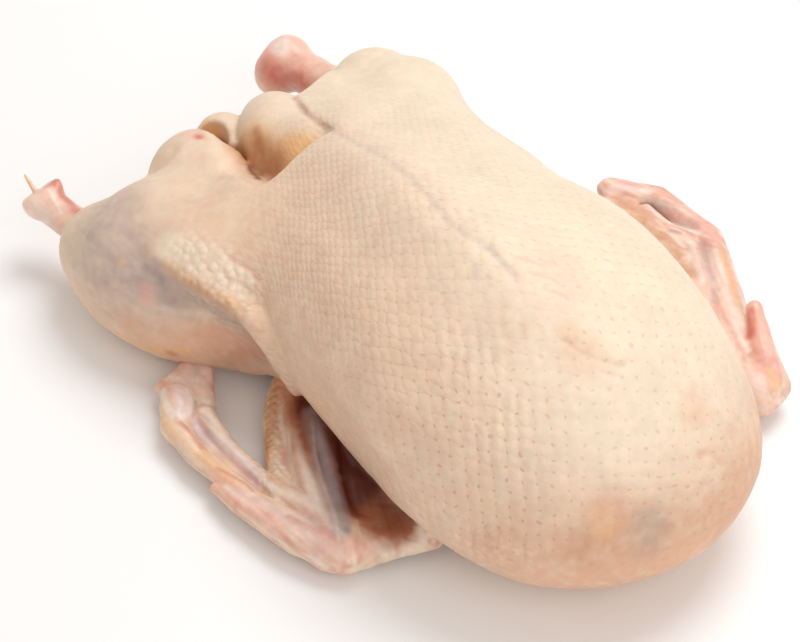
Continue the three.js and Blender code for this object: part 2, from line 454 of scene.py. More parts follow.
LEFT_WING = [
    join(limb([(98, -62, 26), (-32, -66, 20)], [18, 14])),  # upper arm
    join(web([(98, -62, 20), (-38, -72, 16), (84, -123, 13)], 4), 8),
    join(web([(-40, -80, 13), (30, -126, 12), (60, -90, 14)], 4), 8),
    join(web([(92, -110, 11), (104, -76, 14), (50, -88, 16)], 5), 8),
    join(limb([(-34, -74, 17), (22, -107, 20), (72, -122, 18)], [11, 6, 6]), 6),  # ulna
    join(limb([(-8, -72, 20), (36, -96, 21), (82, -118, 18)], [7, 4.5, 6]), 5),  # radius
    join(limb([(-10, -82, 22), (20, -98, 23), (74, -120, 22)], [1.3, 1.3, 1.3]), 3),  # sinews
    join(limb([(34, -93, 20), (60, -107, 20), (80, -117, 21)], [1.2, 1.2, 1.2]), 3),
    join(limb([(-38, -81, 15), (-24, -98, 13), (8, -117, 12), (28, -126, 12)], [8, 6, 5, 5]), 3),  # edge
    join(ellipsoid((78, -118, 14), (18, 13, 12), (-25, 0, 0)), 10),  # wrist
    join(limb([(76, -119, 17), (46, -121, 16), (22, -127, 15), (-20, -132, 15), (-46, -130, 15)], [10, 7, 4.5, 4.5, 6]), 3),
    join(limb([(79, -126, 14), (50, -133, 14), (26, -140, 14), (-22, -150, 14), (-50, -149, 14)], [11, 8, 6, 6.5, 8]), 2.5),
    join(web([(46, -128, 8), (-50, -148, 9), (-40, -130, 9)], 5), 2),
    join(ellipsoid((-60, -140, 14), (17, 11, 11), (-20, 0, 0)), 5),  # finger joint
    join(web([(-80, -139, 13), (-86, -118, 13), (-58, -136, 14)], 4.5), 5),  # finger
    join(web([(-86, -118, 13), (-77, -109, 14), (-54, -124, 13)], 4), 3),
    join(web([(-86, -118, 13), (-54, -124, 13), (-58, -140, 14)], 4.5), 3),
    join(limb([(2, -153, 12), (20, -149, 14), (43, -142, 15), (62, -136, 15), (76, -129, 15)], [3, 6, 8, 9, 9.5]), 2),  # thumb
    rest(SEAT_BLEND),
]
RIGHT_WING = [
    join(limb([(110, 74, 26), (-14, 114, 18)], [18, 14])),
    join(limb([(-14, 114, 18), (120, 142, 16)], [15, 13], 0.8), 8),
    join(web([(-14, 114, 18), (120, 142, 16), (0, 190, 18)], 5), 8),
    join(web([(110, 74, 26), (-14, 114, 18), (120, 142, 16)], 4), 8),
    join(web([(-14, 114, 18), (0, 190, 17), (-56, 180, 16)], 5), 8),
    join(web([(120, 142, 15), (60, 178, 16), (0, 170, 17)], 6), 6),
    join(web([(60, 178, 16), (10, 202, 17), (0, 160, 17)], 6), 6),
    join(limb([(120, 142, 16), (60, 180, 17), (12, 204, 18), (-36, 202, 18), (-60, 182, 18)], [13, 9, 9, 8, 8], 0.9), 3),
    join(limb([(100, 150, 20), (58, 166, 21), (14, 187, 22), (-30, 187, 20)], [7, 5, 4.5, 4]), 3),  # sinews
    join(limb([(20, 176, 22), (-22, 180, 21), (-44, 168, 20)], [4, 4, 4]), 3),
    join(ellipsoid((124, 146, 17), (18, 14, 14), (-30, 0, 0)), 6),  # wrist
    join(limb([(128, 154, 18), (106, 164, 24), (82, 178, 30)], [10, 8, 5]), 4),  # thumb
    rest(SEAT_BLEND),
]
BODY_FORMS = TORSO + VENT + LEFT_LEG + [rest(SEAT_BLEND)]


# ---- From the forms to a mesh ---------------------------------------------------------------

COARSE = 4  # a first pass takes every fourth cell
STITCH = 3.0  # spacing of the points of a line that lies on the skin


class Carving:
    """A solid made by steps inside a box, and lines that lie on its surface."""

    def __init__(self, low, high, steps):
        self.low = np.array(low, float)
        self.high = np.array(high, float)
        self.steps = steps
        self.lines = {}

    def field(self, points):
        """Distance from each point to the surface, below zero inside."""
        field = np.full(len(points), FAR_AWAY)
        for step in self.steps:
            step(points, field)
        return field

    def grid(self, pitch):
        """Field values on a grid. Far from the surface only their sign is right."""
        count = np.ceil((self.high - self.low) / pitch / COARSE).astype(int) * COARSE + 1
        coarse_count = (count - 1) // COARSE + 1
        nodes = np.stack(np.meshgrid(*[np.arange(n) for n in coarse_count], indexing="ij"), -1)
        coarse = self.field(self.low + pitch * COARSE * nodes.reshape(-1, 3)).reshape(coarse_count)
        nearest = [(np.arange(n) + COARSE // 2) // COARSE for n in count]
        values = coarse[np.ix_(*nearest)].astype(np.float32)
        close = np.argwhere(np.abs(values) < 3.5 * pitch + 2)
        values[tuple(close.T)] = self.field(self.low + pitch * close)
        return values

    def surface(self, pitch):
        """Vertices, quads and the way out of the skin at each vertex."""
        vertices, quads = surface_nets(self.grid(pitch), self.low, pitch)
        vertices, outward = self.settle(vertices)
        return vertices, quads, outward

    def settle(self, points, rounds=1, most=1.0, step=0.4):
        """Moves points onto the surface, by so much at most a round, and gives the way out there."""
        for _ in range(rounds):
            here = self.field(points)
            slope = [self.field(points + step * axis) - here for axis in np.eye(3)]
            slope = np.stack(slope, 1) / step
            size = np.maximum((slope**2).sum(1), 0.2)
            points = points - np.clip(slope * (here / size)[:, None], -most, most)
        return points, slope / np.maximum(np.linalg.norm(slope, axis=1), 1e-6)[:, None]

    def laid(self, path):
        """A path's points, closer together and laid on the skin."""
        key = tuple(map(tuple, path))
        if key not in self.lines:
            points = [np.array(path[0], float)]
            for start, end in zip(np.array(path[:-1], float), np.array(path[1:], float)):
                steps = max(1, int(np.linalg.norm(end - start) / STITCH))
                points += [start + (end - start) * (k + 1) / steps for k in range(steps)]
            points = np.array(points)
            for _ in range(3):
                points[1:-1] = (points[:-2] + 2 * points[1:-1] + points[2:]) / 4
            self.lines[key] = self.settle(points, rounds=4, most=6.0)[0]
        return self.lines[key]


BODY_CARVING = Carving((-234, -152, -8), (234, 136, 184), BODY_FORMS)
LEFT_WING_CARVING = Carving((-98, -178, -6), (128, -36, 52), LEFT_WING)
RIGHT_WING_CARVING = Carving((-82, 48, -6), (156, 222, 54), RIGHT_WING)
LEFT_HOCK_CARVING = Carving((-256, -156, 20), (-160, -94, 72), LEFT_HOCK)
RIGHT_HOCK_CARVING = Carving((-274, 22, 22), (-154, 100, 90), RIGHT_HOCK)


def surface_nets(values, low, pitch):
    """One vertex in each cell that the surface crosses, and a quad round each crossed edge."""
    count = np.array(values.shape)
    inside = values < 0
    total = np.zeros((*(count - 1), 3), np.float32)
    crossings = np.zeros(count - 1, np.float32)
    for axis in range(3):
        first, second = [other for other in range(3) if other != axis]
        for u in (0, 1):
            for v in (0, 1):
                near = [slice(0, n - 1) for n in count]
                near[first] = slice(u, count[first] - 1 + u)
                near[second] = slice(v, count[second] - 1 + v)
                far = list(near)
                far[axis] = slice(1, count[axis])
                a, b = values[tuple(near)], values[tuple(far)]
                crossed = (a < 0) != (b < 0)
                along = np.where(crossed, a / np.where(crossed, a - b, 1), 0)
                total[..., axis] += along
                total[..., first] += u * crossed
                total[..., second] += v * crossed
                crossings += crossed
    active = crossings > 0
    number = np.full(active.shape, -1, np.int64)
    number[active] = np.arange(active.sum())
    vertices = (total[active] / crossings[active][:, None] + np.argwhere(active)) * pitch + low
    quads = []
    for axis in range(3):
        first, second = (axis + 1) % 3, (axis + 2) % 3
        near = [slice(None)] * 3
        far = [slice(None)] * 3
        near[axis], far[axis] = slice(0, -1), slice(1, None)
        edges = np.argwhere(inside[tuple(near)] != inside[tuple(far)])

        def cell(u, v):
            place = edges.copy()
            place[:, first] -= u
            place[:, second] -= v
            return number[tuple(place.T)]

        quad = np.stack([cell(1, 1), cell(0, 1), cell(0, 0), cell(1, 0)], 1)
        leaving = inside[tuple(near)][tuple(edges.T)]
        quad[~leaving] = quad[~leaving][:, ::-1]
        quads.append(quad)
    return vertices, np.concatenate(quads)


# ---- Relief -----------------------------------------------------------------------


class Noise:
    """Smooth noise in space, the same on every run."""

    def __init__(self, seed, period=32):
        self.period = period
        self.table = np.random.default_rng(seed).uniform(-1, 1, (period,) * 3)

    def __call__(self, points, size):
        scaled = points / size
        cell = np.floor(scaled).astype(int)
        f = scaled - cell
        f = f * f * (3 - 2 * f)
        total = np.zeros(len(points))
        for corner in np.ndindex(2, 2, 2):
            weight = np.prod(np.where(corner, f, 1 - f), axis=1)
            total += weight * self.table[tuple(((cell + corner) % self.period).T)]
        return total


def smooth_step(value, start, end):
    t = np.clip((value - start) / (end - start), 0, 1)
    return t * t * (3 - 2 * t)


def patch(points, centre, radii, turn=(0, 0, 0), soft=0.6):
    """1 in the middle of an ellipsoid, falling to 0 at its edge over a soft share of its radius."""
    local = (points - np.array(centre)) @ turning(*turn) / np.array(radii)
    return 1 - smooth_step(np.sqrt((local**2).sum(1)), 1 - soft, 1)


def stroke(points, carving, path, width, soft=1.0):
    """1 along a path on the skin, falling to 0 at a width from it."""
    path = carving.laid(path)
    value = np.zeros(len(points))
    near = np.flatnonzero(np.all((points > path.min(0) - width) & (points < path.max(0) + width), axis=1))
    off = distance_to_path(points[near], path)
    value[near] = 1 - smooth_step(off, width * (1 - soft), width)
    return value


# The skin's follicles lie in rows. Their rows and columns are counted on a map of the breast that
# is wrapped round it from the side that faces up and to the left front.
MAP_CENTRE = np.array([40, 4, 60])
MAP_RADII = np.array([150, 112, 88])
MAP_OUT = np.array([0.569, -0.398, 0.719])
MAP_ACROSS = np.array([0.574, 0.819, 0.0])
MAP_DOWN = np.array([0.589, -0.413, -0.695])
MAP_SIZE = (126, 118)  # millimetres for one radian on the map
ROW_SPACING = 7.2  # between follicles in the middle of the map
ROW_GROWTH = 0.0026  # how much wider they get for each millimetre towards the neck


def follicle_rows(points):
    """Column and row number of each point, and the angle from the middle of the map."""
    ball = (points - MAP_CENTRE) / MAP_RADII
    ball /= np.linalg.norm(ball, axis=1)[:, None] + 1e-9
    angle = np.arccos(np.clip(ball @ MAP_OUT, -1, 1))
    stretch = angle / np.maximum(np.sin(angle), 1e-3)
    numbers = []
    for way, size in zip((MAP_ACROSS, MAP_DOWN), MAP_SIZE):
        along = np.clip(stretch * (ball @ way), -2.2, 2.2) * size
        grown = np.maximum(1 + ROW_GROWTH * along, 0.25)
        numbers.append(np.log(grown) / (ROW_GROWTH * ROW_SPACING))
    return numbers[0], numbers[1], angle


# Creases: path, half width, depth. All are pressed in along the way out of the skin.
KEEL_LINE = [
    (-109, 3, 124), (-86, 2, 132), (-61, 0, 142), (-35, -3, 153), (-14, -5, 158), (7, -9, 163),
    (25, -12, 165), (40, -12, 165), (59, -7, 166),
]
KEEL_END = [(58, -8, 166), (65, -7, 166), (71, -8, 165), (82, -8, 165)]
KEEL_MARKS = [[(63, -20, 163), (70, -24, 161)], [(74, -19, 163), (78, -21, 162)]]
SCRATCHES = [
    [(73, 0, 166), (77, 3, 166), (83, 7, 165)],
    [(86, -1, 166), (91, 3, 165), (96, 7, 164)],
    [(98, -2, 164), (102, 3, 162), (106, 7, 160)],
]
TEARDROP = [(91, -24, 159), (99, -29, 154), (108, -32, 149), (112, -29, 149), (113, -25, 150), (104, -19, 158)]
BREAST_CREASES = [
    [(122, -6, 149), (132, -1, 145), (137, 3, 142), (146, 14, 138)],
    [(143, 2, 139), (149, 8, 137)],
]
NECK_CREASES = [[(206, 27, 80), (211, 30, 65)], [(212, 14, 65), (213, 25, 54)], [(193, 32, 100), (192, 41, 97), (197, 44, 90)]]
THIGH_WRINKLE = [(-80, -88, 94), (-68, -84, 94), (-56, -83, 91)]
GROIN = [(-170, 16, 100), (-166, 15, 101), (-150, 10, 106), (-135, 6, 113), (-123, 5, 117), (-108, 3, 124)]
LOBE_FOLD = [(-186, -77, 77), (-183, -69, 82), (-185, -63, 85)]
FLANK_CREASE = [(-120, 42, 113), (-93, 56, 122), (-81, 84, 114)]
CREASES = [
    (KEEL_LINE, 10.0, 0.8),
    (KEEL_END, 8.0, 0.5),
    (TEARDROP, 4.0, 0.35),
    (BREAST_CREASES[0], 6.0, 0.7),
    (BREAST_CREASES[1], 5.0, 0.8),
    (NECK_CREASES[0], 4.5, 0.7),
    (NECK_CREASES[1], 4.5, 0.7),
    (NECK_CREASES[2], 4.5, 0.7),
    (THIGH_WRINKLE, 3.5, 0.5),
    (LOBE_FOLD, 8.0, 1.8),
    (FLANK_CREASE, 8.0, 1.0),
    (GROIN, 4.5, 1.1),
]

# Pleats: middle and radii of the patch, the way across them, their spacing and their height.
PLEATS = [
    ((118, -52, 132), (50, 34, 40), (0.574, 0.819, 0), 7.0, 0.35),  # below the breast's ridge
    ((-140, 20, 108), (30, 18, 22), (0.3, 0.95, 0), 5.0, 0.45),  # right groin
    ((186, 50, 96), (24, 30, 30), (0.4, 0.6, 0.6), 6.5, 0.35),  # right shoulder
]

noise_a, noise_b, noise_c = Noise(3), Noise(11), Noise(29)


def follicle_swell(points):
    """1 on the pleats between the columns of follicles, 0 in the follicles."""
    columns, rows, _ = follicle_rows(points)
    waver = 0.16 * noise_c(points, 11)
    waves = [0.5 - 0.5 * np.cos(2 * math.pi * (part + waver)) for part in (columns, rows)]
    return 0.5 * waves[0] + 0.5 * np.sqrt(waves[0] * waves[1])


def body_relief(points, carving):
    """How far the skin stands out of the round forms, in millimetres."""
    height = 0.9 * noise_a(points, 34) + 0.35 * noise_b(points, 14) + 0.12 * noise_c(points, 6)
    for path, width, depth in CREASES:
        height -= depth * stroke(points, carving, path, width)
    for centre, radii, across, spacing, amount in PLEATS:
        weight = patch(points, centre, radii)
        wavy = points @ np.array(across) + 3.0 * noise_b(points, 18)
        height += amount * weight * np.sin(2 * math.pi * wavy / spacing)
    front = patch(points, (150, -40, 90), (95, 90, 90), soft=0.7) + patch(points, (160, -74, 64), (40, 30, 34))
    edge = patch(points, (-20, -93, 60), (34, 24, 40)) + patch(points, (60, -94, 68), (90, 24, 34))
    height += 0.4 * edge * noise_b(points, 5)
    return height + 0.35 * front * (1 + 0.9 * noise_b(points, 16)) * follicle_swell(points)


def streaks(points, guides):
    """Noise drawn out along the nearest of some guide lines."""
    nearest = np.full(len(points), np.inf)
    drawn = points.copy()
    for start, end in guides:
        start, end = np.array(start, float), np.array(end, float)
        heading = (end - start) / np.linalg.norm(end - start)
        off = distance_to_path(points, [start, end])
        closer = off < nearest
        drawn[closer] = (points - 0.9 * (points @ heading)[:, None] * heading)[closer]
        nearest = np.minimum(nearest, off)
    return 0.6 * noise_c(drawn, 1.9) + 0.6 * noise_b(drawn, 4.5)


LEG_GUIDES = [
    ((-195, -128, 55), (-110, -125, 70)),
    ((-110, -132, 60), (-40, -92, 40)),
]
WING_GUIDES = [
    ((84, -128, 18), (-60, -148, 18)),  # left hand
    ((84, -118, 20), (-30, -72, 24)),  # left forearm
    ((120, 146, 20), (40, 182, 22)),  # right hand
    ((12, 204, 20), (-60, 182, 18)),  # right finger
    ((120, 140, 20), (-14, 114, 20)),  # right forearm
]


def wing_relief(points, carving):
    lumps = 0.35 * noise_b(points, 12) + 0.25 * noise_c(points, 5)
    return lumps + 0.45 * streaks(points, WING_GUIDES)


def hock_relief(points, carving):
    return 0.3 * noise_b(points, 8) + 0.15 * noise_c(points, 3)


# ---- Paint and masks ------------------------------------------------------------------------
# A mark gives 0 to 1 at every point. A patch has a middle and radii, a stroke has a path and a
# width. The last number is how strong the mark is, and soft is the share over which it fades.


def P(centre, radii, amount, turn=(0, 0, 0), soft=0.8):
    return lambda points, carving: amount * patch(points, centre, radii, turn, soft)


def S(path, width, amount, soft=0.8):
    return lambda points, carving: amount * stroke(points, carving, path, width, soft)


def F(guides, centre, radii, amount, way=1):
    """Fine lines drawn out along the guides, inside a patch. The other way gives the lines between."""

    def mark(points, carving):
        lines = np.clip(2.2 * way * streaks(points, guides), 0, 1)
        return amount * lines * patch(points, centre, radii)

    return mark


def all_over(amount):
    return lambda points, carving: np.full(len(points), amount)


def shaded_front_and_foot(points, carving):
    """Painted shade on warmer skin: the front below the breast's ridge, turned from the key lamp, and the foot of
    every side, darker towards the floor.
    """
    front = smooth_step(points[:, 0], 90, 205) * smooth_step(-points[:, 2], -125, -60)
    return np.maximum(front, 0.5 * smooth_step(-points[:, 2], -60, -5))


def contact_shadow_line(points, carving):
    """Painted contact shadow: a dark line where the breast meets the floor."""
    return 0.85 * smooth_step(-points[:, 2], -9, -2) * smooth_step(points[:, 0], 20, 60)


# Painted shade on the left side, which the key lamp does not reach: warmer and darker, weaker towards the rear end.
def shaded_left_side(points, carving):
    rear = 0.4 + 0.6 * smooth_step(points[:, 0], -190, -100)
    return 0.5 * rear * smooth_step(-points[:, 1] - 0.25 * points[:, 0], -40, 90)


BODY_PAINT = [
    # painted shade on the left side, and on the front and the foot of every side
    ("peach", shaded_left_side),
    ("peach", shaded_front_and_foot),
    # left drumstick
    ("mauve", P((-136, -125, 62), (66, 40, 44), 0.65)),
    ("mauve", P((-168, -108, 78), (42, 28, 26), 0.4)),
    ("slate", F(LEG_GUIDES, (-120, -125, 60), (90, 50, 50), 0.12)),
    ("cream", F(LEG_GUIDES, (-120, -125, 60), (90, 50, 50), 0.2, way=-1)),
    # painted shadow under the knee's lip, where the drumstick goes in under the skin
    ("slate", S([(-104, -125, 72), (-84, -119, 72), (-66, -112, 70), (-50, -105, 62), (-44, -99, 50)], 22, 0.42)),
    ("sinew_and_highlight", S([(-97, -128, 60), (-84, -118, 60), (-69, -109, 62)], 3.5, 0.3)),
    ("pink", S([(-108, -128, 66), (-105, -130, 61)], 8, 0.5)),
    # painted shade on the drumstick's lower side
    ("peach", S([(-108, -139, 39), (-99, -134, 31), (-70, -112, 44), (-48, -98, 48)], 20, 0.7)),
    ("rose", S([(-93, -126, 50), (-81, -116, 50), (-62, -104, 46), (-48, -98, 46)], 14, 0.12)),
    # painted shade on the drumstick's knee end, near the floor
    ("rust_and_shade", S([(-62, -104, 30), (-48, -95, 36), (-42, -94, 54)], 16, 0.3)),
    ("fat_and_shade", S([(-121, -143, 26), (-103, -134, 23), (-92, -129, 28), (-81, -121, 35)], 6, 0.7)),
    ("rust_and_shade", P((-87, -127, 28), (9, 6, 6), 0.5)),
    ("fat_and_shade", P((-130, -131, 73), (5, 5, 5), 0.4)),
    # skin over the left knee
    ("cream", S([(-111, -108, 89), (-93, -101, 90), (-77, -94, 90), (-62, -90, 88)], 14, 0.9)),
    ("fat_and_shade", S([(-102, -117, 83), (-89, -113, 83), (-75, -109, 82), (-62, -103, 81), (-46, -96, 76)], 6, 0.4)),
    # painted shade along the knee's lip
    ("rust_and_shade", S([(-84, -113, 83), (-71, -109, 82), (-59, -104, 81), (-48, -98, 76)], 7, 0.3)),
    ("rose", S(THIGH_WRINKLE, 1.8, 0.3)),
    # lobes and flap round the vent
    ("pink", P((-192, -46, 86), (16, 14, 12), 0.5)),
    ("rose", P((-183, -45, 90), (6, 5, 5), 0.9)),
    ("fat_and_shade", P((-178, -44, 91), (5, 5, 5), 0.5)),
    # painted shade in the left lobe's fold
    ("peach", S(LOBE_FOLD, 8, 0.25)),
    ("fat_and_shade", P((-200, -67, 73), (16, 16, 16), 0.35)),
    ("fat_and_shade", P((-199, -27, 71), (13, 15, 14), 1.0)),
    # painted shade in the curled flap's hollow
    ("rust_and_shade", P((-188, -27, 68), (12, 12, 9), 0.55)),
    # painted shade in the slit between the lobes
    ("rust_and_shade", S([(-190, -27, 67), (-176, -31, 72), (-166, -30, 74), (-150, -27, 76)], 9, 0.9)),
    ("blood_and_shade", S([(-180, -31, 72), (-165, -30, 72), (-146, -28, 71)], 7, 0.9)),
    # painted shade in the dark wedge between the lobes
    ("rust_and_shade", S([(-172, -25, 77), (-165, -25, 78), (-156, -27, 80), (-148, -29, 81), (-137, -31, 79)], 7, 0.7)),
    ("blood_and_shade", S([(-172, -25, 77), (-165, -25, 78), (-156, -27, 80), (-148, -29, 81), (-139, -30, 79)], 3.5, 0.8)),
    # painted shade on the right lobe's lower side, next to the slit
    ("fat_and_shade", S([(-160, -23, 88), (-145, -22, 91), (-130, -21, 97), (-118, -14, 107)], 22, 0.95)),
    ("rust_and_shade", S([(-158, -24, 83), (-147, -23, 86), (-130, -22, 92)], 20, 0.6)),
    # painted shade in the right lobe's dimple
    ("rust_and_shade", S([(-162, -18, 95), (-154, -21, 95), (-148, -22, 92)], 6, 0.4)),
    # painted shade carrying the wedge's dark line further on
    ("blood_and_shade", S([(-150, -31, 80), (-141, -33, 83), (-131, -36, 87)], 3.5, 0.8)),
    # breast
    ("mauve", S(KEEL_LINE, 3.5, 0.24)),
    ("mauve", S(KEEL_END, 3.4, 0.3)),
    ("mauve", S(KEEL_MARKS[0], 2.4, 0.3)),
    ("mauve", S(KEEL_MARKS[1], 2.4, 0.3)),
    ("rose", S(SCRATCHES[0], 2.0, 0.25)),
    ("rose", S(SCRATCHES[1], 2.0, 0.25)),
    ("rose", S(SCRATCHES[2], 2.0, 0.2)),
    # painted shade along the teardrop fold
    ("peach", S(TEARDROP, 2.6, 0.25)),
    ("fat_and_shade", P((121, -2, 152), (10, 10, 8), 0.25)),
    ("rust_and_shade", S(GROIN, 3.0, 0.4)),
    # painted shade along the breast's creases
    ("rust_and_shade", S(BREAST_CREASES[0], 2.2, 0.22)),
    ("rust_and_shade", S(BREAST_CREASES[1], 2.0, 0.18)),
    ("peach", P((134, -2, 144), (22, 20, 16), 0.4)),
    ("pink", P((96, 12, 162), (40, 34, 20), 0.2)),
    # front
    ("rose", P((192, -27, 90), (20, 22, 24), 0.26)),
    # painted shade on the lower front face
    ("rust_and_shade", P((194, -38, 72), (24, 24, 20), 0.22)),
    ("fat_and_shade", P((192, -30, 86), (14, 14, 18), 0.5)),
    ("slate", P((204, -8, 78), (18, 17, 32), 0.3, (0, 20, 0))),
    # painted shade along the neck end's creases
    ("peach", S(NECK_CREASES[0], 3.0, 0.6)),
    ("peach", S(NECK_CREASES[1], 3.0, 0.6)),
    ("peach", S(NECK_CREASES[2], 3.0, 0.6)),
    ("peach", P((176, 42, 114), (22, 20, 16), 0.4)),
    # painted contact shadow where the breast meets the floor
    ("rust_and_shade", contact_shadow_line),
]
LEFT_WING_PAINT = [
    ("peach", all_over(0.4)),
    ("rose", F(WING_GUIDES, (0, -110, 20), (300, 200, 80), 0.4)),
    ("sinew_and_highlight", F(WING_GUIDES, (0, -110, 20), (300, 200, 80), 0.5, way=-1)),
    # finger and its joint
    ("pink", P((-76, -119, 18), (25, 22, 14), 0.6)),
    ("rose", S([(-88, -125, 14), (-86, -114, 17), (-78, -106, 15), (-62, -116, 17)], 5, 0.12)),
    # painted light: the finger is lightened where the drumstick's shadow falls on it
    ("sinew_and_highlight", P((-74, -119, 18), (17, 15, 12), 0.65)),
    ("fat_and_shade", S([(-67, -148, 21), (-48, -154, 22), (-39, -157, 18)], 9, 0.5)),
    ("sinew_and_highlight", S([(-82, -131, 17), (-71, -129, 21), (-58, -131, 21), (-48, -139, 22), (-46, -148, 22),
                 (-58, -149, 23), (-74, -143, 20)], 4, 0.8)),
    ("lilac", S([(-70, -134, 22), (-58, -140, 25), (-52, -142, 23)], 6, 1.0)),
    ("mauve", S([(-55, -131, 19), (-47, -136, 21)], 2.4, 0.5)),
    # hand
    ("fat_and_shade", S([(-38, -154, 19), (-20, -152, 21), (-3, -149, 21), (13, -144, 21)], 7, 0.35)),
    ("rose", S([(-48, -148, 23), (-40, -147, 21), (-34, -146, 20), (-22, -147, 20)], 2.4, 0.4)),
    ("fat_and_shade", S([(-18, -148, 21), (-4, -146, 21), (6, -145, 21)], 3, 0.5)),
    ("sinew_and_highlight", S([(-46, -130, 20), (-38, -131, 21), (-21, -132, 19), (-3, -131, 19), (15, -129, 19)], 4, 0.5)),
    ("lilac", S([(-43, -139, 17), (-29, -138, 16), (-14, -136, 18), (1, -134, 18), (15, -132, 16)], 6, 1.0)),
    ("mauve", S([(-36, -138, 17), (-14, -135, 18), (8, -132, 17)], 2.5, 0.15)),
    ("sinew_and_highlight", S([(-29, -138, 16), (-14, -136, 17), (1, -134, 18)], 5, 0.35)),
    ("sinew_and_highlight", S([(-43, -135, 20), (-26, -134, 20), (-8, -132, 19), (11, -131, 19), (24, -129, 19)], 1.5, 0.6)),
    ("rust_and_shade", S([(-4, -148, 21), (3, -145, 21), (12, -141, 20), (22, -140, 20)], 1.6, 0.5)),
    # thumb and wrist
    ("pink", S([(2, -150, 17), (21, -147, 19), (44, -143, 24), (64, -138, 24), (80, -126, 24)], 11, 0.3)),
    ("lilac", S([(15, -147, 20), (28, -143, 20), (43, -139, 20), (59, -136, 22)], 5, 0.45)),
    ("sinew_and_highlight", S([(8, -150, 19), (26, -149, 20), (44, -145, 20), (62, -142, 17)], 3, 0.35)),
    ("lilac", P((70, -126, 22), (34, 20, 16), 0.4)),
    ("pink", P((84, -126, 22), (20, 16, 14), 0.35)),
    ("rose", S([(11, -152, 17), (28, -151, 20), (46, -146, 23), (64, -142, 19), (79, -138, 14)], 3, 0.25)),
    ("sinew_and_highlight", S([(16, -131, 16), (31, -127, 19), (47, -122, 23), (58, -119, 25)], 3, 0.5)),
    ("rose", S([(50, -134, 22), (62, -131, 25), (74, -124, 27), (84, -122, 26)], 3.5, 0.3)),
    # forearm
    ("rust_and_shade", S([(-26, -84, 24), (-12, -89, 24), (2, -95, 24), (14, -102, 24)], 9, 0.5)),
    ("fat_and_shade", S([(-38, -84, 24), (-30, -94, 20), (-19, -104, 18), (-2, -115, 16), (12, -124, 13)], 6.5, 0.7)),
    ("rust_and_shade", S([(-38, -82, 24), (-30, -92, 20), (-19, -102, 18), (-4, -113, 16)], 6.5, 0.4)),
    # brown flesh near the body, darkened as painted shade
    ("rust_and_shade", S([(-12, -82, 26), (-4, -86, 27), (10, -92, 26)], 6, 0.6)),
    ("sinew_and_highlight", S([(6, -98, 24), (22, -105, 26), (38, -112, 24), (52, -118, 24)], 6, 0.55)),
    # dark raw flesh with painted shade: the forearm's hollow under the overhanging body
    ("rust_and_shade", S([(-4, -76, 26), (22, -84, 25), (44, -87, 24), (64, -91, 23)], 26, 1.0, 0.4)),
    ("blood_and_shade", S([(-4, -76, 26), (22, -82, 25), (44, -86, 24), (62, -91, 23)], 20, 1.0, 0.6)),
    ("blood_and_shade", S([(6, -79, 22), (20, -80, 22), (32, -81, 22), (48, -85, 22), (60, -90, 22)], 12, 1.0, 0.6)),
    # brown web next to the body, with painted shade where it lies under the body
    ("rust_and_shade", P((82, -88, 20), (24, 22, 16), 1.0, soft=0.5)),
    ("blood_and_shade", P((80, -86, 20), (24, 20, 16), 0.35)),
    ("blood_and_shade", F([((60, -100, 20), (90, -76, 20))], (78, -86, 20), (30, 26, 20), 0.6)),
    ("mauve", S([(-2, -84, 25), (15, -92, 24), (36, -101, 24), (57, -109, 24), (78, -118, 24)], 9, 0.8)),
    ("slate", S([(24, -96, 22), (45, -102, 24), (62, -108, 25), (78, -115, 27)], 6, 0.5)),
    ("sinew_and_highlight", S([(-1, -85, 25), (25, -99, 25), (45, -107, 25), (62, -113, 25), (82, -122, 25)], 1.8, 0.3)),
    # painted shade over the forearm's hollow under the body, again
    ("blood_and_shade", S([(2, -77, 26), (22, -81, 25), (44, -85, 24), (60, -91, 23)], 11, 0.9)),
    ("pink", P((90, -110, 21), (12, 14, 12), 0.4)),
]
